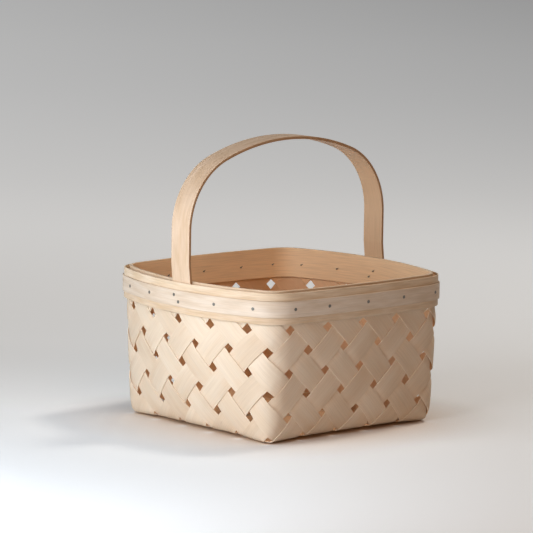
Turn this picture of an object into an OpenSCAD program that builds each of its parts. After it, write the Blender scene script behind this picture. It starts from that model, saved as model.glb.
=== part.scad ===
// Woven market basket: twenty wood splints plaited on the diagonal, a rim of
// three bent bands nailed through the weave, and a fixed bentwood hoop handle.
//
// The weave is laid out on a lattice. A place on the wall is (t, z): t counts
// splint pitches round the basket, anticlockwise seen from above, from 0 at the
// corner where x and y are lowest, and z is the height above the base. Splints
// cross at every half pitch. Both splints of a crossing are bent over the same
// nine lattice points, one outside them and one inside, so they never meet.

/* [Weave] */
// Distance between neighbouring splints along a side of the base
splint_pitch = 52; // [46:1:58]
// Width of a splint
splint_w = 28.6; // [26:0.2:31]
// Thickness of a splint
splint_t = 0.8; // [0.6:0.1:1.2]
// Gap between two splints where they cross
weave_gap = 0.2; // [0.1:0.05:0.5]
// How far a splint arches away from the one that it crosses
weave_arch = 0.4; // [0:0.1:0.8]
// Height that a splint climbs for each pitch that it runs along the wall
splint_climb = 53.4; // [50:0.2:58]

/* [Body] */
// Height of the outer rim band's top edge
rim_z = 185; // [178:1:194]
// How far the edge of the base stands off the table
base_lift = 5; // [0:0.5:8]
// Width of the base's margin that rises to its edge
base_margin = 45; // [30:1:60]
// How far the rim stands out past the base, at the middle of an x side
flare_x = 23.2; // [15:0.2:36]
// How far the rim stands out past the base, at the middle of a y side
flare_y = 33.2; // [24:0.2:44]
// Corner radius at the base
base_corner_r = 4; // [2:1:10]
// Corner radius at the rim
rim_corner_r = 37; // [32:1:50]
// Half angle of the arc that an x side follows at the rim
bow_x = 5.8; // [3:0.2:9]
// Half angle of the arc that a y side follows at the rim
bow_y = 20.9; // [16:0.1:24]
// How early the wall reaches its full width, where 1 is a straight slope
flare_power = 0.45; // [0.35:0.05:1]

/* [Rim bands] */
// Height of the wide inner and outer bands
band_h = 38; // [32:1:44]
// Thickness of the wide outer band
outer_band_t = 2.4; // [1.6:0.2:3.2]
// Thickness of the wide inner band
inner_band_t = 4; // [2:0.5:5]
// How far the inner band stands above the outer one
inner_band_rise = 2; // [0:0.5:4]
// Height of the narrow nailed band
nailed_band_h = 20; // [14:1:24]
// Thickness of the narrow nailed band
nailed_band_t = 1.8; // [1.2:0.2:3]
// Depth of the nailed band's top edge below the outer band's
nailed_band_drop = 9.5; // [7:0.5:12]
// Length of the slope on which the two ends of a band lap over each other
lap = 24; // [14:1:40]

/* [Handle] */
// Height of the top of the handle
handle_z = 352.5; // [320:0.5:380]
// Width of the handle strap
strap_w = 32; // [26:1:40]
// Thickness of the handle strap
strap_t = 3.8; // [3:0.2:4.2]
// Radius of the handle's shoulders
shoulder_r = 90; // [60:1:100]
// Radius of the handle's crown
crown_r = 300; // [240:5:400]
// Turn of the handle about the upright axis
handle_turn = 2.8; // [0:0.1:3]
// How far the hoop leans to the front
handle_lean = 2.4; // [0:0.2:4]
// Thickness of the shaved tongue at each end of the handle
tongue_t = 1.4; // [1:0.1:2]
// Height of the tongue's lower end above the outer band's lower edge
tongue_lift = 2; // [0:0.5:6]
// How far the strap stands outside the middle of the weave
strap_seat = 0.7; // [0.4:0.1:0.8]

/* [Tacks] */
// Diameter of a tack's shank
tack_d = 1.6; // [1.2:0.1:2]
// Diameter of a tack's head
tack_head_d = 4; // [3:0.2:5]
// Thickness of a tack's head
tack_head_t = 0.6; // [0.4:0.1:1]
// Length of the point that is clinched over the inside of the rim
clinch = 3; // [2:0.2:4]
// Spacing of the two tacks of a handle end, both along the rim and upright
pair_step = 8; // [6:0.2:9]
// Distance of the front pair to the left of the strap's middle, seen from outside
front_pair_shift = 4.2; // [0:0.2:8]
// Distance of the back pair to the left of the strap's middle, seen from outside
back_pair_shift = 1; // [0:0.2:8]
// How far the hand-set tacks of two neighbouring sides stray to the right
tack_strays = [6, 4, 0, 11, 11, 2, -3, 2, 6, 7];

/* [Hidden] */
per_side = 5;
around = 4 * per_side;
// Crossings of a splint above the base edge, and the pitch of the tacked one
last_row = 7;
tack_row = 3;
$fn = 24;
// Room on each side of a tongue between its neighbours
slip = 0.15;
// Room round a tack in its bore
bore_play = 0.1;
// Slant of the clinched points
clinch_turn = 150;
// Height above the rim over which the hoop's legs take up the lean
lean_rise = 22;
// Seam of bands and tacks that only touch
touch = 0.05;
// Gap between the lapped ends of a band
lap_gap = 0.3;
// Pitches of the lapped ends: inside on the front, outside on the back
inner_lap = 3;
outer_lap = 12;
nailed_lap = 14;
// How far the splints end below the outer rim
trim = 2;
// Least half angle of a side's arc, as at the straight base edge
least_bow = 0.3;
// Height under which the wall counts as the fold at the base edge
fold = 0.01;
// How far a bore reaches through the rim and past it
bore_reach = 60;
// How deep a tongue is rooted in its strap
tongue_root = 1;
// Steps of a band from the middle of a y side to the middle of an x side
front_steps = 10;
corner_steps = 8;
end_steps = 6;
// Steps of a tongue, of a shoulder and of half the crown
tongue_steps = 4;
shoulder_steps = 14;
crown_steps = 6;

base_side = per_side * splint_pitch;
arch_edge = (splint_t + weave_gap) / 2;
floor_z = arch_edge + splint_t / 2;
splint_top = rim_z - trim;
band_z = rim_z - band_h;
wall_h = band_z - base_lift;
// Offsets of the bands' faces from the middle of the weave, outwards
tongue_in = arch_edge + splint_t / 2 + slip;
outer_in = tongue_in + tongue_t + slip;
nailed_in = outer_in + outer_band_t + touch;
nailed_out = nailed_in + nailed_band_t;
corner_sag = pow(splint_w / 2, 2) / (8 * rim_corner_r);
inner_out = -arch_edge - splint_t / 2 - slip - corner_sag;
tack_z = rim_z - nailed_band_drop - nailed_band_h / 2;

// Handle: centre lines of the legs and of the three arcs
leg_y = base_side / 2 + flare_y + strap_seat;
crown_half = asin((leg_y - shoulder_r) / (crown_r - shoulder_r));
crown_z = handle_z - strap_t / 2 - crown_r;
shoulder_z = crown_z + (crown_r - shoulder_r) * cos(crown_half);
strap_foot = rim_z + touch;

// Wall section: a four-centred curve of two bowed side arcs and a corner arc.
// It returns [side arc radius of y, of x, corner x, corner y, arc lengths...].
function mix(a, b, k) = a + (b - a) * k;
function spread(z) = pow(min(max(z, 0) / wall_h, 1), flare_power);
function section(half_x, half_y, r, fx, fy) =
    let (
        det = sin(fy) * sin(fx) - (1 - cos(fx)) * (1 - cos(fy)),
        ry = r + ((half_x - r) * sin(fx) - (1 - cos(fx)) * (half_y - r)) / det,
        rx = r + ((half_y - r) * sin(fy) - (1 - cos(fy)) * (half_x - r)) / det,
        arc = PI / 180
    )
    [half_x, half_y, r, fx, fy, rx, ry,
     ry * fy * arc, r * (90 - fx - fy) * arc, rx * fx * arc];
function section_at(z) =
    let (k = spread(z))
    section(
        base_side / 2 + flare_x * k,
        base_side / 2 + flare_y * k,
        mix(base_corner_r, rim_corner_r, k),
        mix(least_bow, bow_x, k),
        mix(least_bow, bow_y, k)
    );
function quarter_length(s) = s[7] + s[8] + s[9];
// Point [x, y, direction] at a length along the quarter from the middle of the
// front to the middle of the right side
function quarter_point(s, d) =
    let (
        a = d < s[7] ? d / s[6] * 180 / PI
          : d < s[7] + s[8] ? s[4] + (d - s[7]) / s[2] * 180 / PI
          : 90 - s[3] + (d - s[7] - s[8]) / s[5] * 180 / PI,
        cx = d < s[7] ? 0 : d < s[7] + s[8] ? (s[6] - s[2]) * sin(s[4]) : s[0] - s[5],
        cy = d < s[7] ? s[6] - s[1]
           : d < s[7] + s[8] ? s[6] - s[1] - (s[6] - s[2]) * cos(s[4]) : 0,
        r = d < s[7] ? s[6] : d < s[7] + s[8] ? s[2] : s[5]
    )
    [cx + r * sin(a), cy - r * cos(a), a];
// Point and outward normal at pitch t on a section: [x, y, nx, ny]
function wall_point(s, t) =
    let (
        u = (t - per_side / 2 + around) % around,
        side = floor(u / per_side),
        part = u / per_side - side,
        even = side % 2 == 0,
        p = quarter_point(s, (even ? part : 1 - part) * quarter_length(s)),
        sx = side > 1 ? -1 : 1,
        sy = side == 1 || side == 2 ? -1 : 1
    )
    [sx * p[0], sy * p[1], sx * sin(p[2]), -sy * cos(p[2])];
function local_pitch(z) = quarter_length(section_at(z)) / per_side;

// Middle surface of the weave: [point, offset direction]
function on_wall(t, z) =
    let (w = wall_point(section_at(z), t))
    [[w[0], w[1], floor_z + base_lift + z], [w[2], w[3], z < fold ? -1 : 0]];
function base_rise(x, y) =
    let (depth = base_side / 2 - max(abs(x), abs(y)))
    base_lift * pow(max(1 - depth / base_margin, 0), 2);
function on_base(x, y) = [[x, y, floor_z + base_rise(x, y)], [0, 0, -1]];
// A point p along the right-leaning and q along the left-leaning direction
// from a crossing on the wall; below the base edge it lies on the base
function near_wall(t, z, p, q) =
    let (
        run = (p - q) / sqrt(2),
        rise = z + (p + q) / sqrt(2),
        at = t + run / local_pitch(z),
        w = wall_point(section_at(0), at),
        side = floor(at / per_side) % 4,
        inward = [[0, 1], [-1, 0], [0, -1], [1, 0]][side]
    )
    rise > -fold ? on_wall(at, rise)
                 : on_base(w[0] - inward[0] * rise, w[1] - inward[1] * rise);

// Where splint k of a family leaves the base edge, as pitches round the basket:
// [foot that leans right, foot that leans left, crossings between the two]
function feet_a(k) = let (c = k - 0.5)
    c < per_side ? [c, around - c, 2 * c] : [around - c, c, 2 * (2 * per_side - c)];
function feet_b(k) = let (d = k - per_side - 0.5)
    d > 0 ? [2 * per_side - d, d, 2 * (per_side - d)]
          : [around + d, 2 * per_side - d, 2 * (per_side + d)];
function foot(t) = let (w = floor(t / per_side), u = (t % per_side - per_side / 2) * splint_pitch,
                        h = base_side / 2)
    [[u, -h], [h, u], [-u, h], [-h, -u]][w % 4];

// Offset of a splint from the middle surface. It arches over a crossing on the
// open wall, and lies flat at the base edge and between the rim bands.
function arch(s, z) =
    arch_edge + (z > 0 && z < wall_h ? weave_arch * (1 - abs(s) / (splint_w / 2)) : 0);

// One row of three lattice points across a splint, at distance s from a
// crossing: [[point, direction] x 3, offset, way the next facets are split]
function wall_row(t, z, s, right, sign, turn) =
    [[for (v = [-splint_w / 2, 0, splint_w / 2])
        right ? near_wall(t, z, -s, -v) : near_wall(t, z, -v, s)],
     sign * arch(s, z), turn];
function base_row(from, to, share, s, sign) =
    let (
        d = (to - from) / norm(to - from),
        c = mix(from, to, share) + d * s
    )
    [[for (v = [-splint_w / 2, 0, splint_w / 2]) on_base(c[0] + d[1] * v, c[1] - d[0] * v)],
     sign * arch_edge, d[0] * d[1] < 0 ? 1 : 2];

// All rows of a splint, from the top of its right-leaning end to the other top
function rows(f) =
    let (
        steps = [-splint_w / 2, 0, splint_w / 2],
        t0 = f[0],
        t1 = f[1],
        from = foot(t0),
        to = foot(t1)
    )
    concat(
        [for (i = [last_row : -1 : 1], s = steps)
            wall_row(t0 + i / 2, i / 2 * splint_climb, s, true, i % 2 == 0 ? 1 : -1, 1)],
        [for (s = steps) wall_row(t0, 0, s, true, 1, 2)],
        [for (i = [1 : 1 : f[2] - 1], s = steps)
            base_row(from, to, i / f[2], s, i % 2 == 0 ? 1 : -1)],
        [for (s = steps) wall_row(t1, 0, s, false, -1, 1)],
        [for (i = [1 : last_row], s = steps)
            wall_row(t1 - i / 2, i / 2 * splint_climb, s, false, i % 2 == 0 ? -1 : 1, 2)]
    );

// A splint's closed solid: six points a row, three outside and three inside
function halves(a, b, c, d, turn) =
    turn == 1 ? [[c, b, a], [d, c, a]] : [[d, b, a], [d, c, b]];
module strip(r) {
    points = [
        for (row = r, side = [0.5, -0.5], m = row[0]) m[0] + m[1] * (row[1] + splint_t * side)
    ];
    last = 6 * len(r) - 6;
    faces = [
        for (i = [0 : len(r) - 2]) let (a = 6 * i, b = a + 6, turn = r[i][2]) each concat(
            halves(a, b, b + 1, a + 1, turn),
            halves(a + 1, b + 1, b + 2, a + 2, turn),
            halves(a + 4, b + 4, b + 3, a + 3, 3 - turn),
            halves(a + 5, b + 5, b + 4, a + 4, 3 - turn),
            halves(a + 3, b + 3, b, a, 1),
            halves(a + 2, b + 2, b + 5, a + 5, 1)
        ),
        each concat(halves(3, 0, 1, 4, 1), halves(4, 1, 2, 5, 1)),
        each concat(halves(last, last + 3, last + 4, last + 1, 1),
                    halves(last + 1, last + 4, last + 5, last + 2, 1))
    ];
    polyhedron(points, faces, convexity = 6);
}
module splint(f) {
    difference() {
        strip(rows(f));
        for (t = [(f[0] + tack_row) % around, (f[1] - tack_row + around) % around])
            bores(t);
        translate([-base_side, -base_side, splint_top]) cube(2 * base_side);
    }
}

// Pitches of the two handle ends
strap_lead = leg_y * sin(handle_turn) / local_pitch(band_z);
front_strap_t = per_side / 2 + strap_lead;
back_strap_t = front_strap_t + 2 * per_side;

// Places of the tacks, as [pitch, height]. Each crossing under the rim has one,
// and the two behind the handle's ends have a slanting pair.
function pair(t, shift) =
    let (p = local_pitch(band_z), half = pair_step / 2)
    [[t - (shift + half) / p, tack_z + half], [t - (shift - half) / p, tack_z - half]];
function tacks(t) =
    t == per_side / 2 ? pair(front_strap_t, front_pair_shift)
  : t == 2.5 * per_side ? pair(back_strap_t, back_pair_shift)
  : [[t + tack_strays[floor(t) % len(tack_strays)] / local_pitch(band_z), tack_z]];
module at_rim(place) {
    w = wall_point(section_at(band_z), place[0]);
    translate([w[0], w[1], place[1]]) rotate([0, 0, atan2(w[3], w[2])]) rotate([0, 90, 0]) children();
}
module bores(t) {
    for (place = tacks(t)) at_rim(place)
        cylinder(d = tack_d + 2 * bore_play, h = bore_reach, center = true);
}
module tack() {
    seat = nailed_out + touch;
    bend = inner_out - inner_band_t - touch - tack_d / 2;
    rotate_extrude() polygon([
        [0, bend - tack_d / 2],
        [tack_d / 2, bend - tack_d / 2],
        [tack_d / 2, seat],
        [tack_head_d / 2, seat],
        [tack_head_d / 2, seat + tack_head_t / 2],
        [tack_head_d / 4, seat + tack_head_t],
        [0, seat + tack_head_t]
    ]);
    // The point, hammered flat against the band along a slant
    translate([0, 0, bend]) rotate([0, 90, clinch_turn])
        cylinder(clinch, d1 = 0.85 * tack_d, d2 = 0.3 * tack_d);
}

// A bent band round the rim, between two offsets from the middle of the weave
function side_steps(s) = [
    for (i = [1 : front_steps]) s[7] * i / front_steps,
    for (i = [1 : corner_steps]) s[7] + s[8] * i / corner_steps,
    for (i = [1 : end_steps]) s[7] + s[8] + s[9] * i / end_steps
];
function band_places(s) =
    let (part = side_steps(s) / quarter_length(s) * per_side, n = len(part))
    [for (m = [per_side / 2, 2.5 * per_side]) each concat(
        [for (p = part) m + p],
        [for (i = [n - 2 : -1 : 0]) m + 2 * per_side - part[i], m + 2 * per_side]
    )];
function offset_point(s, t, e) =
    let (w = wall_point(s, t)) [w[0] + w[2] * e, w[1] + w[3] * e];
module band(inside, outside, low, high, seam) {
    s = section_at(band_z);
    places = band_places(s);
    difference() {
        translate([0, 0, low]) linear_extrude(high - low) difference() {
            polygon([for (t = places) offset_point(s, t, outside)]);
            polygon([for (t = places) offset_point(s, t, inside)]);
        }
        for (t = [0.5 : 1 : around]) bores(t);
        lapped_ends(seam, (inside + outside) / 2, atan((outside - inside) / lap));
    }
}
// The slanting gap between the two ends of a band
module lapped_ends(t, middle, slant) {
    w = wall_point(section_at(band_z), t);
    translate([w[0] + w[2] * middle, w[1] + w[3] * middle, rim_z])
        rotate([0, 0, atan2(w[3], w[2]) + 90 + slant])
            cube([2 * lap, lap_gap, rim_z], center = true);
}
module outer_rim_band() {
    color("wheat") band(outer_in, outer_in + outer_band_t, band_z, rim_z, outer_lap);
}
module inner_rim_band() {
    color("burlywood") band(inner_out - inner_band_t, inner_out,
                            band_z + inner_band_rise, rim_z + inner_band_rise, inner_lap);
}
module nailed_rim_band() {
    top = rim_z - nailed_band_drop;
    color("antiquewhite") band(nailed_in, nailed_out, top - nailed_band_h, top, nailed_lap);
}

// Handle: a strap bent to a crown arc between two shoulder arcs, on straight
// legs. Each end is shaved to a tongue that slips behind the outer band.
function arc_point(cy, cz, r, a) = [cy + r * sin(a), cz + r * cos(a)];
function arch_side(e) = concat(
    [for (i = [0 : shoulder_steps - 1])
        arc_point(leg_y - shoulder_r, shoulder_z, shoulder_r + e,
                  mix(90, crown_half, i / shoulder_steps))],
    [for (i = [0 : crown_steps])
        arc_point(0, crown_z, crown_r + e, crown_half * (1 - i / crown_steps))]
);
function arch_line(e) =
    let (side = concat([[leg_y + e, strap_foot + lean_rise]], arch_side(e)))
    concat(
        [[leg_y + e, strap_foot]],
        [for (p = side) [p[0] - handle_lean, p[1]]],
        [for (i = [len(side) - 2 : -1 : 0]) [-side[i][0] - handle_lean, side[i][1]]],
        [[-leg_y - e, strap_foot]]
    );
function reversed(list) = [for (i = [len(list) - 1 : -1 : 0]) list[i]];
module tongue(middle) {
    s = section_at(band_z);
    half = strap_w / 2 / local_pitch(band_z);
    places = [for (i = [0 : tongue_steps]) middle + mix(-half, half, i / tongue_steps)];
    low = band_z + tongue_lift;
    translate([0, 0, low]) linear_extrude(strap_foot + tongue_root - low) polygon(concat(
        [for (t = places) offset_point(s, t, tongue_in + tongue_t)],
        [for (t = reversed(places)) offset_point(s, t, tongue_in)]
    ));
}
module handle() {
    color("wheat") difference() {
        union() {
            rotate([0, 0, handle_turn]) rotate([90, 0, 90]) linear_extrude(strap_w, center = true)
                polygon(concat(arch_line(strap_t / 2), reversed(arch_line(-strap_t / 2))));
            tongue(front_strap_t);
            tongue(back_strap_t);
        }
        bores(per_side / 2);
        bores(2.5 * per_side);
    }
}
module rim_tacks() {
    color("gray") for (t = [0.5 : 1 : around]) if (len(tacks(t)) == 1) at_rim(tacks(t)[0]) tack();
}
module handle_tacks() {
    color("gray") for (t = [per_side / 2, 2.5 * per_side], place = tacks(t)) at_rim(place) tack();
}

for (k = [1 : 2 * per_side]) {
    color("wheat") splint(feet_a(k));
    color("antiquewhite") splint(feet_b(k));
}
inner_rim_band();
outer_rim_band();
nailed_rim_band();
handle();
rim_tacks();
handle_tacks();
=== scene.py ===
# %% [markdown]
# # A woven market basket
# This basket is made of flat wood only. Twenty thin splints are plaited on the
# diagonal into a square-bottomed body, three bent bands clamp the splint ends
# at the rim, one strap is bent into a hoop handle, and small steel tacks hold
# it all together. So the lesson has one big idea: make each strip flat on the
# bench, ease its edges, and only then bend it into place with a function.
#
# First the solid model is loaded. It is the fixed frame that every piece has to
# fit, and it gives the places of the rim and the handle.

# %% Load the frame
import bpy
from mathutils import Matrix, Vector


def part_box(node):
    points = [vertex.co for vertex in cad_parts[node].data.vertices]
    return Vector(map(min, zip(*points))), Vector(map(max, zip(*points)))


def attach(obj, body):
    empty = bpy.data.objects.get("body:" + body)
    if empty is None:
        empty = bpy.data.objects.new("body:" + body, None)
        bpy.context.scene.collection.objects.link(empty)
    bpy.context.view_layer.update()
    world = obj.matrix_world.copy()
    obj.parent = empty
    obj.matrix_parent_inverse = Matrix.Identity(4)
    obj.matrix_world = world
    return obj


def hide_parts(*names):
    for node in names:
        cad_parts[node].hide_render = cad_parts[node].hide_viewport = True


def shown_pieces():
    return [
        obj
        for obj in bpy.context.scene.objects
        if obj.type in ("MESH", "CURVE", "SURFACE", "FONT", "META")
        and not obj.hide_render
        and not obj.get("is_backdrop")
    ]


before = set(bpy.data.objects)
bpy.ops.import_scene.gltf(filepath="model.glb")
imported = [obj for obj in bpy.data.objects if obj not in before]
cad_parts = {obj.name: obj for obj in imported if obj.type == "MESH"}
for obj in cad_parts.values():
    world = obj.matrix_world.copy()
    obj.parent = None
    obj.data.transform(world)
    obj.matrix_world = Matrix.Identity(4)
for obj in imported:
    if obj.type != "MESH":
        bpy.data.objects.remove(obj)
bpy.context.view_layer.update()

import math
import random

import bmesh
import bpy
from mathutils import Matrix, Quaternion, Vector

mm = 0.001
scene = bpy.context.scene
print("solid pieces:", len(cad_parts))

# %% [markdown]
# ## The camera
# A short lens close by would make the near corner bulge. A long lens from far
# away keeps the basket's edges nearly parallel, so its shape reads well. The
# camera is placed by two angles, a distance and a point to aim at. A tiny roll
# about its own axis is the last turn.

# %% Camera
view_side = math.radians(49.35)
view_down = math.radians(8.31)
view_roll = math.radians(0.77)
camera_reach = 4.47
aim_height = 189 * mm
aim_shift = -17.7 * mm
lens_length = 244

camera_back = Vector((
    math.sin(view_side) * math.cos(view_down),
    -math.cos(view_side) * math.cos(view_down),
    math.sin(view_down),
))
camera_right = Vector((math.cos(view_side), math.sin(view_side), 0))
aim = Vector((0, 0, aim_height)) + camera_right * aim_shift

camera = bpy.data.objects.new("camera", bpy.data.cameras.new("camera"))
scene.collection.objects.link(camera)
camera.data.lens = lens_length
camera.location = aim + camera_back * camera_reach
camera.rotation_mode = "QUATERNION"
facing = (-camera_back).to_track_quat("-Z", "Y")
camera.rotation_quaternion = facing @ Quaternion((0, 0, 1), view_roll)
scene.camera = camera
scene.view_settings.view_transform = "Standard"
print("camera at", [round(v, 2) for v in camera.location])

# %% [markdown]
# ## Small helpers for materials
# Colours are picked as sRGB hex values, the numbers that a colour picker shows.
# Shaders work in linear light, so one function turns them over. A second one
# adds a node with its settings and links in a single line. The Mix node has
# several sockets with the same name, one for each kind of value, so its colour
# sockets are picked by number.

# %% Colour and node helpers
MIX_A, MIX_B, MIX_OUT = 6, 7, 2


def linear(code):
    """A hex colour such as "C8A27A" as linear red, green, blue and alpha."""
    parts = [int(code[i:i + 2], 16) / 255 for i in (0, 2, 4)]
    parts = [c / 12.92 if c <= 0.04045 else ((c + 0.055) / 1.055) ** 2.4 for c in parts]
    return (*parts, 1.0)


def add(tree, kind, links=None, inputs=None, **settings):
    """Adds a node of that kind. links and inputs are {socket: source or value}."""
    node = tree.nodes.new("ShaderNode" + kind)
    for name, value in settings.items():
        setattr(node, name, value)
    for socket, value in (inputs or {}).items():
        node.inputs[socket].default_value = value
    for socket, source in (links or {}).items():
        tree.links.new(source, node.inputs[socket])
    return node


def new_material(name):
    """An empty node material, with its tree and its surface output."""
    material = bpy.data.materials.new(name)
    material.use_nodes = True
    tree = material.node_tree
    tree.nodes.clear()
    return material, tree, add(tree, "OutputMaterial")


print("mid grey in linear light:", round(linear("808080")[0], 3))

# %% [markdown]
# ## The stage
# The basket stands on seamless paper. One wide sheet is enough, because the
# camera looks down a little and never sees its end.

# %% Sheet of paper
floor_half = 30.0

bm = bmesh.new()
bmesh.ops.create_grid(bm, x_segments=1, y_segments=1, size=floor_half)
floor_mesh = bpy.data.meshes.new("paper_floor")
bm.to_mesh(floor_mesh)
bm.free()
floor = bpy.data.objects.new("paper_floor", floor_mesh)
scene.collection.objects.link(floor)
floor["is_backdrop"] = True
print("paper:", 2 * floor_half, "m square")

# %% [markdown]
# ## A pale floor without bright lamps
# The paper could be lit all over by big lamps, but they would also light the
# basket. So the paper gets a faint glow of its own that only the camera sees.
# The glow fades under the basket, where little of the room reaches the paper,
# so the contact shadow stays. There the paper also turns a little warm, because
# light that has struck the wood first brings its colour along. Close to the
# nearest lamp the paper is toned down, or it would burn out to white.

# %% Rays that reach the eye
def seen(tree):
    """1 for rays that reach the eye: straight, mirrored or through glass."""
    rays = add(tree, "LightPath").outputs
    share = rays["Is Camera Ray"]
    for other in ("Is Glossy Ray", "Is Transmission Ray"):
        share = add(tree, "Math", {0: share, 1: rays[other]}, operation="MAXIMUM").outputs[0]
    return share


# %% The paper's glow
# Distances in metres from a spot in front of the basket, and the glow's strength there
glow_middle = (0, -0.69, 0)
glow_tones = ((0, 0.0), (0.3, 0.02), (0.5, 0.11), (0.65, 0.14), (1, 0.22), (2, 0.38), (3, 0.41),
              (4.5, 0.4), (6.5, 0.37), (9, 0.33))
glow_reach = glow_tones[-1][0]
# The side towards which the glow gets stronger, and by how much over a metre
glow_side, glow_tilt = (-0.65, -0.76, 0), 0.06
# How near to the wood the paper no longer sees the whole room, in metres
corner_reach = 0.12

paper, tree, out = new_material("seamless_paper")
place = add(tree, "TexCoord").outputs["Object"]
far = add(tree, "VectorMath", {0: place}, {1: glow_middle}, operation="DISTANCE").outputs["Value"]
reach = add(tree, "MapRange", {"Value": far}, {"From Max": glow_reach}).outputs["Result"]
tone = add(tree, "ValToRGB", {"Fac": reach})
tone.color_ramp.interpolation = "CARDINAL"
for stop, (spot, glow) in enumerate(glow_tones):
    if stop > 1:
        tone.color_ramp.elements.new(spot / glow_reach)
    tone.color_ramp.elements[stop].position = spot / glow_reach
    tone.color_ramp.elements[stop].color = (glow, glow, glow, 1)
across = add(tree, "VectorMath", {0: place}, {1: glow_side}, operation="DOT_PRODUCT")
tilt = add(tree, "MapRange", {"Value": across.outputs["Value"]},
           {"From Min": -1.0, "To Min": -glow_tilt, "To Max": glow_tilt})
strength = add(tree, "Math", {0: tone.outputs["Color"], 1: tilt.outputs["Result"]},
               operation="ADD", use_clamp=True).outputs[0]
hidden = add(tree, "AmbientOcclusion", inputs={"Distance": corner_reach}, samples=8)
# The open share of the room counts twice, so the glow is gone well before the wood
for part in (hidden.outputs["AO"], hidden.outputs["AO"], seen(tree)):
    strength = add(tree, "Math", {0: strength, 1: part}, operation="MULTIPLY").outputs[0]
print("glow from", glow_tones[0][1], "to", max(glow for spot, glow in glow_tones))

# %% The paper's colour
# Uncoated and matt: nothing shines on it, so only the shadow draws the eye
paper_tone, painted_bounce_tone = "EAF0F6", "E0C8B0"
# Painted shade against the nearest lamp's light: the paper is toned down most at dim_near metres
# from the same spot, and not past dim_far
dim_near, dim_far, dimmed = 0.25, 0.6, 0.78

dim = add(tree, "MapRange", {"Value": far},
          {"From Min": dim_near, "From Max": dim_far, "To Min": dimmed}).outputs["Result"]
# Painted bounce light: where the wood hides the room, the paper's colour turns warm
bounce = add(tree, "Mix", {0: hidden.outputs["AO"]},
             {MIX_A: linear(painted_bounce_tone), MIX_B: linear(paper_tone)},
             data_type="RGBA").outputs[MIX_OUT]
shade = add(tree, "VectorMath", {0: dim, 1: bounce}, operation="MULTIPLY")
coat = add(tree, "BsdfDiffuse", {"Color": shade.outputs[0]})
glowing = add(tree, "Emission", {"Strength": strength})
both = add(tree, "AddShader", {0: coat.outputs[0], 1: glowing.outputs[0]})
tree.links.new(both.outputs[0], out.inputs["Surface"])
floor.data.materials.append(paper)
print("paper nodes:", len(tree.nodes))

# %% [markdown]
# ## The light
# A soft lamp stands close by, in front on the left, so one side of the basket
# is bright and the other lies in its own shade. It ends a little above the
# paper, because a lamp that touches the floor draws a hard line on it. A lamp
# high up behind lights the rim and the table, and draws the dark line of shade
# under the basket's edge. A warm lamp on the right opens up the shaded side.

# %% Lamps
lamp_aim = Vector((0, 0, 155 * mm))


def softbox(name, side, height, far, wide, tall, power, colour):
    """An area lamp that faces the basket. side and height are its bearing in degrees."""
    lamp = bpy.data.objects.new(name, bpy.data.lights.new(name, "AREA"))
    scene.collection.objects.link(lamp)
    lamp.data.shape = "RECTANGLE"
    lamp.data.size, lamp.data.size_y = wide, tall
    lamp.data.energy = power
    lamp.data.color = linear(colour)[:3]
    turn, rise = math.radians(side), math.radians(height)
    away = Vector((math.sin(turn) * math.cos(rise), -math.cos(turn) * math.cos(rise),
                   math.sin(rise)))
    lamp.location = away * far + lamp_aim
    lamp.rotation_mode = "QUATERNION"
    lamp.rotation_quaternion = (-away).to_track_quat("-Z", "Y")
    lamp.visible_camera = False


softbox("key_lamp", side=6, height=13, far=0.8, wide=0.8, tall=0.56, power=6.8, colour="F5FAFE")
softbox("high_lamp", side=168, height=62, far=2.5, wide=0.4, tall=0.4, power=22, colour="FFF4E6")
softbox("fill_lamp", side=66, height=28, far=2.5, wide=1.6, tall=1.6, power=9.2, colour="FFB872")

# %% World
# The room gives the basket a little light, and the eye a grey wall far behind it
air_tone, air_strength = "FFF8F0", 0.03
wall_tone, wall_strength = "A8A8A6", 1.0

world = bpy.data.worlds.new("studio")
scene.world = world
world.use_nodes = True
tree = world.node_tree
tree.nodes.clear()
air = add(tree, "Background", inputs={"Color": linear(air_tone), "Strength": air_strength})
wall = add(tree, "Background", inputs={"Color": linear(wall_tone), "Strength": wall_strength})
room = add(tree, "MixShader", {0: seen(tree), 1: air.outputs[0], 2: wall.outputs[0]})
add(tree, "OutputWorld", {"Surface": room.outputs[0]})
print("world nodes:", len(tree.nodes))

# %% [markdown]
# ## The shape of the wall
# The base is a square and the rim is an oblong with bowed sides and round
# corners. A place on the wall has two numbers: t counts splint pitches round
# the basket, from 0 at one corner to 20, and z is the height. Each level is a
# four-centred curve, which is how a bent band settles between its corners.

# %% Sizes of the weave
per_side = 5
around = 4 * per_side
splint_pitch = 52 * mm
half_base = per_side * splint_pitch / 2
print("base", round(2 * half_base / mm), "mm square")

# %% Sizes of the rim
# Faces of the outer band, measured outwards from the middle of the weave
outer_in, outer_band_t = 2.6 * mm, 2.4 * mm
outer_out = outer_in + outer_band_t
# How high the base's edge stands off the table
base_lift = 5 * mm

rim_low, rim_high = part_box("outer_rim_band")
rim_z, band_z = rim_high.z, rim_low.z
flare_x, flare_y = (rim_high[i] - half_base - outer_out for i in (0, 1))
wall_h = band_z - base_lift
base_corner_r, rim_corner_r = 4 * mm, 37 * mm
# Half of the angle that each side's arc turns through, at the base and at the rim
least_bow = math.radians(0.3)
bow_x, bow_y = math.radians(5.8), math.radians(20.9)
# Below 1, so the wall leans out quickly at first and then goes straight up
flare_power = 0.45
print("rim at", round(rim_z / mm, 2), "bands from", round(band_z / mm, 2))

# %% Two formulas for soft changes
def mix(a, b, k):
    """The value a share k of the way from a to b."""
    return a + (b - a) * k


def ease(k):
    """0 to 1 with a soft start and end."""
    k = min(max(k, 0.0), 1.0)
    return k * k * (3 - 2 * k)


print("ease at each quarter:", [round(ease(k / 4), 2) for k in range(5)])

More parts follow.
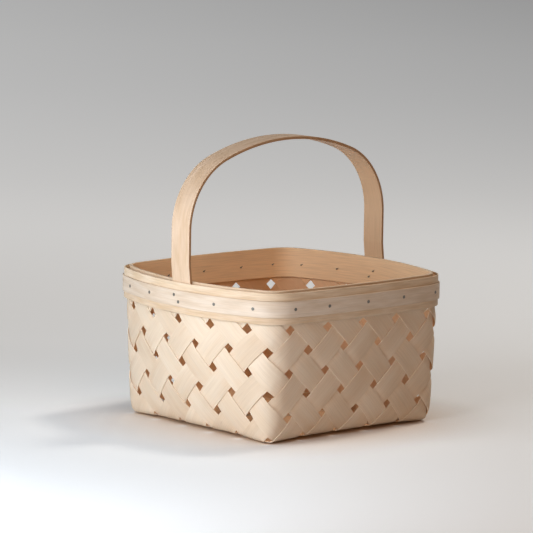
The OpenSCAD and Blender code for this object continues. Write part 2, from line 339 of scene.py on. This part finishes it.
# %% Wall curve
class Level:
    """The wall's outline at one height: two bowed side arcs and a corner arc."""

    def __init__(self, z):
        k = min(max(z, 0.0) / wall_h, 1.0) ** flare_power
        self.x, self.y = half_base + flare_x * k, half_base + flare_y * k
        self.r = mix(base_corner_r, rim_corner_r, k)
        self.bow_x, self.bow_y = mix(least_bow, bow_x, k), mix(least_bow, bow_y, k)
        # Both side arcs have to end where the corner arc starts, with the same
        # heading. That gives two equations for their radii.
        sx, cx = math.sin(self.bow_x), 1 - math.cos(self.bow_x)
        sy, cy = math.sin(self.bow_y), 1 - math.cos(self.bow_y)
        across, along = self.x - self.r, self.y - self.r
        self.ry = self.r + (across * sx - cx * along) / (sy * sx - cx * cy)
        self.rx = self.r + (along * sy - cy * across) / (sy * sx - cx * cy)
        self.arcs = (self.ry * self.bow_y, self.r * (math.pi / 2 - self.bow_x - self.bow_y),
                     self.rx * self.bow_x)
        self.quarter = sum(self.arcs)
        self.pitch = self.quarter / per_side

    def quarter_point(self, d):
        """Place and heading at length d from the front's middle to the right side's."""
        first, second, _ = self.arcs
        if d < first:
            heading, radius, centre = d / self.ry, self.ry, (0.0, self.ry - self.y)
        elif d < first + second:
            heading, radius = self.bow_y + (d - first) / self.r, self.r
            centre = ((self.ry - radius) * math.sin(self.bow_y),
                      self.ry - self.y - (self.ry - radius) * math.cos(self.bow_y))
        else:
            heading = math.pi / 2 - self.bow_x + (d - first - second) / self.rx
            radius, centre = self.rx, (self.x - self.rx, 0.0)
        return (centre[0] + radius * math.sin(heading), centre[1] - radius * math.cos(heading),
                heading)

    def point(self, t):
        """x, y and outward direction at pitch t."""
        u = (t - per_side / 2) % around
        side = int(u // per_side)
        part = u / per_side - side
        share = part if side % 2 == 0 else 1 - part
        x, y, heading = self.quarter_point(share * self.quarter)
        flip_x = -1 if side > 1 else 1
        flip_y = -1 if side in (1, 2) else 1
        return flip_x * x, flip_y * y, flip_x * math.sin(heading), -flip_y * math.cos(heading)


rim_level = Level(wall_h)
print("pitch in mm at the base and at the rim:",
      [round(curve.pitch / mm, 2) for curve in (Level(0), rim_level)])

# %% [markdown]
# ## A strip on the bench
# Splints, bands and the handle are all the same thing: a long flat strip. It
# could be swept along a curve, but a sweep twists a wide strip at bends. Here
# the strip is made flat from a grid, given its thickness by extruding, and its
# long edges are eased with a bevel. The grain's coordinates are also laid out
# now, in metres along and across the wood, and each face notes how far it looks
# inwards or lies on a cut edge, because light and shade are painted there. Then
# a function moves every point to its place on the basket, and the wood bends as
# it does in the hand.

# %% One function for every strip
def flat_strip(length, width, thick, step, columns, eased, grain_shift):
    """A closed slab: x runs along it from 0, y across it and z through it."""
    bm = bmesh.new()
    bmesh.ops.create_grid(bm, x_segments=round(length / step), y_segments=columns, size=0.5)
    bmesh.ops.scale(bm, vec=(length, width, 1), verts=bm.verts)
    bmesh.ops.translate(bm, vec=(length / 2, 0, -thick / 2), verts=bm.verts)
    top = bmesh.ops.extrude_face_region(bm, geom=bm.faces[:])["geom"]
    top = [v for v in top if isinstance(v, bmesh.types.BMVert)]
    bmesh.ops.translate(bm, vec=(0, 0, thick), verts=top)
    bmesh.ops.recalc_face_normals(bm, faces=bm.faces)
    corners = [e for e in bm.edges if e.calc_face_angle(0) > math.radians(45)]
    bmesh.ops.bevel(bm, geom=corners, offset=eased, segments=2, profile=0.5,
                    affect="EDGES", material=-1)
    grain = bm.loops.layers.uv.new("grain")
    # Masks for painted light and shade: how far a face looks inwards, and how far it lies on a
    # cut edge
    inner = bm.faces.layers.float.new("inner_face")
    cut = bm.faces.layers.float.new("cut_edge")
    bm.normal_update()
    for face in bm.faces:
        face[inner] = max(-face.normal.z, 0.0)
        face[cut] = 1.0 - abs(face.normal.z)
        for loop in face.loops:
            x, y, z = loop.vert.co
            loop[grain].uv = (x + grain_shift, y + z)
    return bm


sample = flat_strip(100 * mm, 20 * mm, 1 * mm, step=10 * mm, columns=2, eased=0.1 * mm,
                    grain_shift=0)
print("a sample strip has", len(sample.faces), "faces")
sample.free()

# %% Bend it and finish it
def bend(bm, place):
    """Moves every point of a flat strip to where place(x, y, z) puts it."""
    for v in bm.verts:
        v.co = place(*v.co)


def finish_piece(bm, name, material, nodes):
    """Makes the object, hides the solid parts that it stands for and lets it ride on the basket.
    """
    bmesh.ops.recalc_face_normals(bm, faces=bm.faces)
    mesh = bpy.data.meshes.new(name)
    bm.to_mesh(mesh)
    bm.free()
    mesh.shade_smooth()
    mesh.materials.append(material)
    piece = bpy.data.objects.new(name, mesh)
    scene.collection.objects.link(piece)
    piece.modifiers.new("flat_faces_first", "WEIGHTED_NORMAL").keep_sharp = True
    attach(piece, "root")
    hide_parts(*nodes)
    print(name, "has", len(mesh.polygons), "faces")

# %% [markdown]
# ## Wood
# All the wood is peeled or sliced aspen, pale and close-grained with a dull
# planed face. Its colour drifts slowly along the grain, fine fibres run the
# whole length, and a small knot turns up now and then. The pattern is laid on
# the strip's own grain coordinates, so it follows every bend. A thin splint
# also lets some light through. The light turns warm on its way, so the inside
# of the basket glows and its holes are never black. Subsurface scattering could
# do that too, but on wood this thin a share of translucent shader is enough.
# The splints' inner sides also have a warm glow painted on, and the cut edges have painted light
# and shade.

# %% Sizes of the figure in the wood
# Noise stays close to its middle value, so each window stretches that part
streak_window, fibre_window, plank_window = (0.35, 0.65), (0.3, 0.6), (0.38, 0.62)
# The slowest change of tone: its width, and the shade at its darkest
plank, plank_cast = 60 * mm, "F5F1ED"
# One knot grows in each patch of this size. Its dark core and its rim are shares of a patch
knot_run, knot_row = 160 * mm, 60 * mm
knot_core, knot_rim, knot_tone = 0.01, 0.035, "9A6C48"
# Height of the raised fibres, and the colour of light that comes through the wood
fibre_depth, through_tone = 0.1 * mm, "FFDFB8"
print("one knot in", round(knot_run * knot_row / mm ** 2 / 100), "square cm of wood")

# %% Wood material
def wood(name, light, dark, inside, edge, fibre, streak, contrast, rough, knots, thin):
    """Sliced wood in two tones, with tones of its own for the inner side and for the cut edges,
    where light and shade are painted on.

    fibre and streak are widths across the grain. knots is how strongly they
    show, and thin is the share of light that goes through.
    """
    material, tree, out = new_material(name)
    grain = add(tree, "UVMap", uv_map="grain").outputs["UV"]

    def figure(width, stretch, detail):
        """Noise as wide as width across the grain and stretch times as long along it."""
        laid = add(tree, "Mapping", {"Vector": grain},
                   {"Scale": (1 / (width * stretch), 1 / width, 1)})
        return add(tree, "TexNoise", {"Vector": laid.outputs["Vector"]},
                   {"Scale": 1.0, "Detail": detail}).outputs["Fac"]

    drift = add(tree, "MapRange", {"Value": figure(streak, 6, 2)},
                {"From Min": streak_window[0], "From Max": streak_window[1]})
    body = add(tree, "Mix", {0: drift.outputs["Result"]},
               {MIX_A: linear(dark), MIX_B: linear(light)}, data_type="RGBA").outputs[MIX_OUT]
    # Painted light and shade: the inner side and the cut edges get tones of their own
    for attribute, tone in (("inner_face", inside), ("cut_edge", edge)):
        share = add(tree, "Attribute", attribute_name=attribute).outputs["Fac"]
        body = add(tree, "Mix", {0: share, MIX_A: body}, {MIX_B: linear(tone)},
                   data_type="RGBA").outputs[MIX_OUT]
    fibres = figure(fibre, 40, 3)
    line = add(tree, "MapRange", {"Value": fibres},
               {"From Min": fibre_window[0], "From Max": fibre_window[1],
                "To Min": 1 - contrast, "To Max": 1.0})
    slow = add(tree, "MapRange", {"Value": figure(plank, 4, 0)},
               {"From Min": plank_window[0], "From Max": plank_window[1]})
    cast = add(tree, "Mix", {0: slow.outputs["Result"]},
               {MIX_A: linear(plank_cast), MIX_B: linear("FFFFFF")},
               data_type="RGBA").outputs[MIX_OUT]
    for shade in (line.outputs["Result"], cast):
        body = add(tree, "VectorMath", {0: body, 1: shade},
                   operation="MULTIPLY").outputs["Vector"]
    if knots:
        laid = add(tree, "Mapping", {"Vector": grain}, {"Scale": (1 / knot_run, 1 / knot_row, 1)})
        cell = add(tree, "TexVoronoi", {"Vector": laid.outputs["Vector"]}, {"Scale": 1.0})
        knot = add(tree, "MapRange", {"Value": cell.outputs["Distance"]},
                   {"From Min": knot_core, "From Max": knot_rim, "To Min": knots, "To Max": 0.0})
        body = add(tree, "Mix", {0: knot.outputs["Result"], MIX_A: body},
                   {MIX_B: linear(knot_tone)}, data_type="RGBA").outputs[MIX_OUT]
    raised = add(tree, "Bump", {"Height": fibres}, {"Strength": 0.2, "Distance": fibre_depth})
    coat = add(tree, "BsdfPrincipled", {"Base Color": body, "Normal": raised.outputs["Normal"]},
               {"Roughness": rough, "IOR": 1.45})
    glowing = add(tree, "BsdfTranslucent", None, {"Color": linear(through_tone)})
    both = add(tree, "MixShader", {1: coat.outputs[0], 2: glowing.outputs[0]}, {0: thin})
    tree.links.new(both.outputs[0], out.inputs["Surface"])
    return material

# %% The four finishes
# Aspen fibres are about 0.03 mm wide, too fine to see. They are drawn as lines a
# little over 1 mm wide, the finest that still show.

# Peeled from a turning log: matt, very pale, with broad faint streaks. Its inner
# side has a warm glow painted on, and its cut edges a pale painted highlight.
splint_wood = wood("peeled_aspen_splint", light="F1E6D3", dark="ECDDC6", inside="F5CEA6",
                   edge="FFF7E6", fibre=1.2 * mm, streak=12 * mm, contrast=0.1, rough=0.6,
                   knots=0.5, thin=0.22)
# Sawn with the grain: narrow streaks and the strongest lines. Its inner side has
# warm light painted on, and its cut edges a painted highlight.
band_wood = wood("sawn_aspen_band", light="E2CEB6", dark="D6BD9F", inside="FBDAB2",
                 edge="F4E0C6", fibre=1.1 * mm, streak=5 * mm, contrast=0.16, rough=0.55,
                 knots=0, thin=0.0)
# Planed heartwood: greyer and smoother
cream_wood = wood("planed_aspen_band", light="E0D2C3", dark="D5C3AF", inside="D2BEA4",
                  edge="DEC9B2", fibre=1.1 * mm, streak=6 * mm, contrast=0.12, rough=0.55,
                  knots=0, thin=0.0)
# Steamed and sanded: a soft sheen. Its inner side has a little painted shade,
# and its cut edges dark painted shade.
handle_wood = wood("bent_aspen_handle", light="DFC8B1", dark="D3B99D", inside="D6B694",
                   edge="AE8863", fibre=1.2 * mm, streak=6 * mm, contrast=0.12, rough=0.5,
                   knots=0, thin=0.0)
print("woods:", [w.name for w in (splint_wood, band_wood, cream_wood, handle_wood)])

# %% [markdown]
# ## The skin that the weave follows
# Each splint starts at the rim, runs down one side, crosses the base and climbs
# the next side. A distance along it is counted in crossings: below 0 on its
# first wall, 0 to n on the base and past n on its second wall.
#
# A path could be drawn for every splint, but then no two would meet well. So
# all splints follow one smooth skin, the middle of the weave. It bends over the
# base edge in a small round. The base's margin rises towards that edge, but the
# four corners hang down again, because a plaited basket stands on them like feet.

# %% Base edge and feet
# Room under the base for the weave, and how far in from its edge the base has risen
floor_gap, base_margin = 1.02 * mm, 45 * mm
# Half of the height and depth that the round over the base edge takes
fold_half = 2.6 * mm
# The feet: how far they hang down, and how far away and how high that still shows
tip_drop, tip_run, tip_height = 2.6 * mm, 70 * mm, 60 * mm


def rounded(h):
    """0 below the base edge and h above it, with a small round between."""
    if abs(h) < fold_half:
        return (h + fold_half) ** 2 / (4 * fold_half)
    return max(h, 0.0)


def margin_rise(x, y):
    """How far the base has risen off the table at a place in its margin."""
    depth = half_base - max(abs(x), abs(y))
    return base_lift * max(1 - max(depth, 0) / base_margin, 0) ** 2


def past_corner(t):
    """Distance along the base edge from the nearest corner."""
    return abs(t - per_side * round(t / per_side)) * splint_pitch


def tip(away, up):
    """How far the basket hangs down near a corner: its four corners are its feet."""
    return tip_drop * (1 - ease(away / tip_run)) * (1 - ease(up / tip_height))


print("feet hang down by mm, at the corner and 20 mm on:",
      [round(tip(away * mm, 0) / mm, 2) for away in (0, 20)])

# %% The skin
# Depth onto the base at which the wall's bowed outline has become straight
square_up = 12 * mm
# Half of the step over which the skin's slope is measured
probe = 0.5 * mm
# For each side of the base, the way along it and the way into the base
side_frames = [(Vector((1, 0)), Vector((0, 1))), (Vector((0, 1)), Vector((-1, 0))),
               (Vector((-1, 0)), Vector((0, -1))), (Vector((0, -1)), Vector((1, 0)))]


def skin_point(side, t, h):
    """A point of the skin: h is the height, or minus the depth onto the base."""
    up, inward = rounded(h), rounded(-h)
    x, y, nx, ny = Level(up).point(t)
    if h > 0:
        foot = floor_gap + base_lift - tip(past_corner(t), up)
        return Vector((x - nx * inward, y - ny * inward, foot + up)), Vector((nx, ny))
    along, into = side_frames[side % 4]
    flat = along * ((t - side * per_side - per_side / 2) * splint_pitch) - into * half_base
    edge = Vector((x, y)).lerp(flat, ease(inward / square_up)) + into * inward
    corner_away = math.hypot(half_base - abs(edge.x), half_base - abs(edge.y))
    foot = floor_gap + max(margin_rise(edge.x, edge.y) - tip(corner_away, up), 0)
    return Vector((edge.x, edge.y, foot + up)), -into


def skin(side, t, h):
    """A point of the skin and the direction straight out of it."""
    here, out = skin_point(side, t, h)
    if h < -fold_half:
        return here, Vector((0, 0, -1))
    rise = skin_point(side, t, h + probe)[0] - skin_point(side, t, h - probe)[0]
    sideways = Vector((-out.y, out.x, 0))
    return here, sideways.cross(rise).normalized()


for t, where in ((0.0, "a corner"), (per_side / 2, "a side's middle")):
    print("base edge at", where, round(skin_point(0, t, probe)[0].z / mm, 1), "mm up")

# %% [markdown]
# ## Over one and under the next
# A splint sways between the outside and the inside of the skin, and lies
# outside at every crossing of even number. A sine wave would look like rope, so
# the wave is flattened: stiff wood lies still at a crossing and turns quickly
# in the open gap. On the base and under the bands the splints are pressed
# flatter. Round the wall's corners they have to bend most and spring outwards,
# and no two corners do it alike.

# %% How a splint sways
wall_sway, flat_sway = 0.64 * mm, 0.52 * mm
# How flat the wave is at a crossing, and so how quickly it turns between two
wall_bend, flat_bend = 2.6, 5.0
# Extra sway at each corner, as a share, and how far along the side it reaches
corner_bulges, bulge_reach = (0.8, 0.8, 3.4, 1.6), 38 * mm
# Height over which a splint springs free above the base, and lies down again below
# the bands
lift_zone = 16 * mm


def sway(at, t, h, springy):
    """How far a splint lies outside the skin at crossing number at."""
    free = ease(h / lift_zone) * (1 - ease((h - wall_h + lift_zone) / lift_zone))
    bent = mix(flat_bend, wall_bend, free)
    reach = mix(flat_sway, wall_sway * springy, free)
    wave = math.tanh(bent * math.cos(math.pi * at)) / math.tanh(bent)
    if wave > 0:
        bulge = corner_bulges[round(t / per_side) % 4]
        wave *= 1 + free * bulge * (1 - ease(past_corner(t) / bulge_reach))
    return reach * wave


def wobble(seed, length):
    """A smooth random function with values from -1 to 1, one knot per crossing."""
    dice = random.Random(seed)
    knots = [dice.uniform(-1, 1) for _ in range(length + 2)]

    def value(at):
        at = min(max(at, 0.0), length)
        i = int(at)
        return mix(knots[i], knots[i + 1], ease(at - i))
    return value


print("sway in mm, from a crossing to a gap:",
      [round(sway(k / 8, per_side / 2, wall_h / 2, 1) / mm, 2) for k in range(5)])

# %% [markdown]
# ## The plaited splints
# The solid model knows where every splint lies. Here each one is made again as
# a strip: flat first, then woven along the skin, and at last cut off level
# under the rim's top. Hand-split wood is never quite even, so each splint
# drifts a little to the side and changes its width on the way.

# %% Sizes of a splint
splint_w, splint_t = 28.6 * mm, 0.8 * mm
crossing = splint_pitch / math.sqrt(2)
# Height that a splint gains on the wall for each pitch along the base edge
splint_climb = 53.4 * mm
# Crossings from the base edge up to a splint's end, a little above where it is cut
top_row = 7.45
splint_top = rim_z - 2 * mm
splint_step, splint_columns = crossing / 12, 8
# Drawn a little thicker than it is, so that the painted highlight on the cut edges shows
shown_t = 1.25 * splint_t
splint_ease = 0.1 * mm
# How far a splint drifts to the side, and its change of width and of sway as shares
stray, swell, spring = 0.8 * mm, 0.03, 0.1
# Knots of the random functions below crossing 0, and the shift of grain between splints
spare, grain_step = 8, 1.7
# The corner that the first half and the second half of each family cut off
cut_corners = {"a": (0, 2), "b": (3, 1)}


def feet(family, k):
    """Pitches where a splint leaves the base edge, and its crossings between them."""
    corner = cut_corners[family][k > per_side] * per_side
    away = per_side - abs(k - 0.5 - per_side)
    return corner + away, (corner - away) % around, round(2 * away)


print("the first splint's pitches and crossings:", feet("a", 1))

# %% One splint
def splint(family, k):
    """Bends and weaves splint k of one family into place."""
    first, second, between = feet(family, k)
    seed = k if family == "a" else k + around
    drift, widen, loosen = (wobble(seed * 3 + i, between + 2 * spare) for i in range(3))

    def place(x, y, z):
        at = x / crossing - top_row
        knot = at + spare
        y = y * (1 + swell * widen(knot)) + stray * drift(knot)
        on_first = at < between / 2
        foot = first if on_first else second
        lean = 1 if on_first else -1
        up = -at if on_first else at - between
        run = splint_climb if up > 0 else splint_pitch
        h = up / 2 * run
        pitch = Level(h).pitch if h > 0 else splint_pitch
        slope = Vector((pitch, run)).normalized()
        # y points right and down beside a right-leaning stretch, left and down
        # beside a left-leaning one
        h -= slope.x * y
        pitch = Level(h).pitch if h > 0 else splint_pitch
        t = foot + lean * (up / 2 + slope.y * y / pitch)
        side = math.floor(foot / per_side)
        here, out = skin(side, t, h)
        return here + out * (sway(at, t, h, 1 + spring * (1 + loosen(knot))) + z)

    length = (between + 2 * top_row) * crossing
    bm = flat_strip(length, splint_w, shown_t, splint_step, splint_columns, splint_ease,
                    seed * grain_step)
    bend(bm, place)
    cut = bmesh.ops.bisect_plane(bm, geom=bm.verts[:] + bm.edges[:] + bm.faces[:],
                                 plane_co=(0, 0, splint_top), plane_no=(0, 0, 1),
                                 clear_outer=True)["geom_cut"]
    rims = [e for e in cut if isinstance(e, bmesh.types.BMEdge)]
    bmesh.ops.holes_fill(bm, edges=rims, sides=0)
    name = f"splint_{family}_{k}"
    finish_piece(bm, "woven_" + name, splint_wood, [name])

# %% Weave them all
for k in range(1, 2 * per_side + 1):
    splint("a", k)
    splint("b", k)
print("splints woven:", 4 * per_side)

# %% [markdown]
# ## The rim bands
# A wide inner band and a wide outer band clamp the splint ends, and a narrow
# band covers the tack line outside. Each is one strip bent round the rim. Its
# two ends are shaved to long slopes that lap over each other, so here the flat
# strip is sheared along its thickness and its ends meet in a slanting seam. The
# rim's outline could also be extruded upwards, but a bent strip has its seam,
# and its grain runs round the rim.

# %% Bands
inner_out, inner_band_t = -1.74 * mm, 4 * mm
nailed_in, nailed_band_t = outer_out + 0.05 * mm, 1.8 * mm
nailed_out = nailed_in + nailed_band_t
# Length of the slanting seam along the rim, and the hair's breadth left open in it
seam_slope, seam_gap = 24 * mm, 0.3 * mm
band_step, band_columns = 4 * mm, 4


def band(name, node, inside, outside, seam, eased, material, shift):
    """Bends a band round the rim between two offsets. Its seam is at pitch seam."""
    low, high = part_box(node)[0].z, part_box(node)[1].z
    length, thick = around * rim_level.pitch, outside - inside

    def place(x, y, z):
        run = x * (1 - seam_gap / length) + seam_slope * z / thick
        px, py, nx, ny = rim_level.point(seam + run / rim_level.pitch)
        off = (inside + outside) / 2 + z
        return Vector((px + nx * off, py + ny * off, (low + high) / 2 + y))

    bm = flat_strip(length, high - low, thick, band_step, band_columns, eased, shift)
    bend(bm, place)
    finish_piece(bm, name, material, [node])


band("inner_hoop", "inner_rim_band", inner_out - inner_band_t, inner_out, seam=3.0,
     eased=0.7 * mm, material=band_wood, shift=40.3)
band("outer_hoop", "outer_rim_band", outer_in, outer_out, seam=12.0,
     eased=0.5 * mm, material=band_wood, shift=43.9)
band("nailed_hoop", "nailed_rim_band", nailed_in, nailed_out, seam=14.0,
     eased=0.5 * mm, material=cream_wood, shift=47.2)

# %% [markdown]
# ## The hoop handle
# The handle is a strap bent over a form: straight legs, two tight shoulders and
# a flatter crown. Where it goes down between the bands, each end is shaved to a
# thin tongue. A curve with a flat profile could give the hoop, but not the
# tongues. So it is one strip again: a function gives the place along the hoop,
# and another lays the tongues on the rim's curve.

# %% Sizes of the hoop
handle_low, handle_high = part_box("handle")
# The hoop stands a little askew on the rim
handle_turn = math.radians(2.8)
strap_w, strap_t, tongue_t = 32 * mm, 3.8 * mm, 1.4 * mm
# Middle of the strap outside the weave's middle, above the rim and in the tongues
strap_seat, tongue_out = 0.7 * mm, 1.75 * mm
shoulder_r, crown_r = 90 * mm, 300 * mm
# The hoop leans back a little, and gains all of its lean just above the rim
lean, lean_rise = 2.4 * mm, 22 * mm
# Height of the step from the whole strap to its tongue
shaved = 1.8 * mm

leg_y = half_base + flare_y + strap_seat
crown_half = math.asin((leg_y - shoulder_r) / (crown_r - shoulder_r))
crown_z = handle_high.z - strap_t / 2 - crown_r
shoulder_z = crown_z + (crown_r - shoulder_r) * math.cos(crown_half)
tongue_length = rim_z - handle_low.z
leg_length = shoulder_z - rim_z
shoulder_length = shoulder_r * (math.pi / 2 - crown_half)
half_hoop = tongue_length + leg_length + shoulder_length + crown_r * crown_half
strap_shift = leg_y * math.sin(handle_turn) / rim_level.pitch
print("handle strip", round(2 * half_hoop / mm), "mm long")

# %% Handle
def hoop(d):
    """Sideways place, height and outward angle at length d up one side of the hoop."""
    d -= tongue_length
    if d < leg_length:
        return leg_y, rim_z + d, math.pi / 2
    d -= leg_length
    if d < shoulder_length:
        a = math.pi / 2 - d / shoulder_r
        return (leg_y - shoulder_r + shoulder_r * math.sin(a),
                shoulder_z + shoulder_r * math.cos(a), a)
    a = crown_half - (d - shoulder_length) / crown_r
    return crown_r * math.sin(a), crown_z + crown_r * math.cos(a), a


def handle_place(x, y, z):
    """Front leg first: x runs up it, over the crown and down the back leg."""
    back = x > half_hoop
    d = 2 * half_hoop - x if back else x
    side = 1 if back else -1
    far, height, a = hoop(d)
    tipped = lean * min(max((height - rim_z) / lean_rise, 0), 1)
    free = Vector((-y, side * (far + z * math.sin(a)) - tipped, height + z * math.cos(a)))
    free.rotate(Quaternion((0, 0, 1), handle_turn))
    thin = ease((rim_z - height) / shaved)
    if not thin:
        return free
    middle = per_side / 2 + strap_shift + (2 * per_side if back else 0)
    px, py, nx, ny = rim_level.point(middle + side * y / rim_level.pitch)
    off = tongue_out + z * tongue_t / strap_t
    return free.lerp(Vector((px + nx * off, py + ny * off, height)), thin)


bm = flat_strip(2 * half_hoop, strap_w, strap_t, step=1.8 * mm, columns=6, eased=0.7 * mm,
                grain_shift=51.4)
bend(bm, handle_place)
finish_piece(bm, "hoop_handle", handle_wood, ["handle"])

# %% [markdown]
# ## Tacks
# Small blued steel tacks hold the rim. A head is a shallow dome, dished in the
# middle where the hammer struck. One profile is spun round to make a tack, and
# copies are set along the rim, one at every crossing and a slanting pair
# through each end of the handle.

# %% Tack metal
# Blued by heat and rubbed bare: a dark grey metal, mottled in spots of about a
# millimetre, with a half dull shine
mottle_width = 1.2 * mm
blued_tone, rubbed_tone = "55534F", "8F8C86"

steel, tree, out = new_material("blued_tack_steel")
place = add(tree, "TexCoord").outputs["Object"]
mottle = add(tree, "TexNoise", {"Vector": place}, {"Scale": 1 / mottle_width, "Detail": 3.0})
worn = add(tree, "Mix", {0: mottle.outputs["Fac"]},
           {MIX_A: linear(blued_tone), MIX_B: linear(rubbed_tone)},
           data_type="RGBA").outputs[MIX_OUT]
coat = add(tree, "BsdfPrincipled", {"Base Color": worn}, {"Metallic": 1.0, "Roughness": 0.42})
tree.links.new(coat.outputs[0], out.inputs["Surface"])
print("steel nodes:", len(tree.nodes))

# %% One tack
tack_d, head_d, head_t = 1.6 * mm, 4 * mm, 0.6 * mm
# The point that is bent over: its length, its bearing, its two radii, and its middle's
# distance from the wood
clinch, clinch_turn = 3 * mm, math.radians(150)
clinch_root, clinch_tip, clinch_seat = 0.42 * tack_d, 0.15 * tack_d, 0.45 * tack_d
# Places across the head and heights on it, as shares: rim, shoulder, dome and dish
head_line = ((0.5, 0), (0.5, 0.35), (0.4, 0.85), (0.25, 1), (0.12, 0.7), (0, 0.6))


def one_tack():
    """A tack along z, its head seated where z is 0 and its point below."""
    length = nailed_out - (inner_out - inner_band_t) + 2 * clinch_seat
    profile = [(0, -length), (tack_d / 2, -length), (tack_d / 2, 0)]
    profile += [(head_d * part, head_t * rise) for part, rise in head_line]
    bm = bmesh.new()
    points = [bm.verts.new((x, 0, z)) for x, z in profile]
    edges = [bm.edges.new(pair) for pair in zip(points, points[1:])]
    bmesh.ops.spin(bm, geom=points + edges, axis=(0, 0, 1), cent=(0, 0, 0), steps=20,
                   angle=2 * math.pi, use_merge=True)
    bmesh.ops.remove_doubles(bm, verts=bm.verts, dist=0.001 * mm)
    # The point, hammered flat over the inside of the rim
    lying = Matrix.Rotation(clinch_turn, 4, "Z") @ Matrix.Rotation(math.pi / 2, 4, "Y") \
        @ Matrix.Translation((0, 0, clinch / 2))
    bmesh.ops.create_cone(bm, cap_ends=True, segments=12, radius1=clinch_root,
                          radius2=clinch_tip, depth=clinch,
                          matrix=Matrix.Translation((0, 0, clinch_seat - length)) @ lying)
    bmesh.ops.recalc_face_normals(bm, faces=bm.faces)
    mesh = bpy.data.meshes.new("one_tack")
    bm.to_mesh(mesh)
    bm.free()
    return mesh


pattern = one_tack()
print("one tack has", len(pattern.polygons), "faces")

# %% Tacks round the rim
tack_z = rim_z - 19.5 * mm
# Half of a handle pair's slant, and how far each pair stands off the handle's middle
pair_half = 4 * mm
front_pair, back_pair = 4.2 * mm, 1 * mm
# How far hand-set tacks stray along the rim, in mm, twice round the list
tack_strays = [6, 4, 0, 11, 11, 2, -3, 2, 6, 7]


def tacks(name, node, spots):
    """Sets a tack square to the rim at every (pitch, height)."""
    bm = bmesh.new()
    for t, height in spots:
        x, y, nx, ny = rim_level.point(t)
        out = Vector((nx, ny, 0))
        place = Matrix.Translation(Vector((x, y, height)) + out * nailed_out) \
            @ out.to_track_quat("Z", "Y").to_matrix().to_4x4()
        before = set(bm.verts)
        bm.from_mesh(pattern)
        bmesh.ops.transform(bm, matrix=place, verts=[v for v in bm.verts if v not in before])
    finish_piece(bm, name, steel, [node])


def pair(middle, shift):
    """Two tacks on a slant, shift to the side of a handle end's middle."""
    return [(middle - (shift + way * pair_half) / rim_level.pitch, tack_z + way * pair_half)
            for way in (1, -1)]


handle_spots = (per_side / 2, 2.5 * per_side)
spots = [(i + 0.5 + tack_strays[i % len(tack_strays)] * mm / rim_level.pitch, tack_z)
         for i in range(around) if i + 0.5 not in handle_spots]
tacks("rim_tack_row", "rim_tacks", spots)
tacks("handle_tack_pairs", "handle_tacks", pair(handle_spots[0] + strap_shift, front_pair)
      + pair(handle_spots[1] + strap_shift, back_pair))
print("tacks:", len(spots) + 4)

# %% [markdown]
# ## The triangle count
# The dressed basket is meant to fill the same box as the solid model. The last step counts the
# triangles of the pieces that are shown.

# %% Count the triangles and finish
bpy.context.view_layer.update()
triangles = sum(len(p.vertices) - 2 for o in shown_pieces() for p in o.data.polygons)
print("triangles:", triangles)
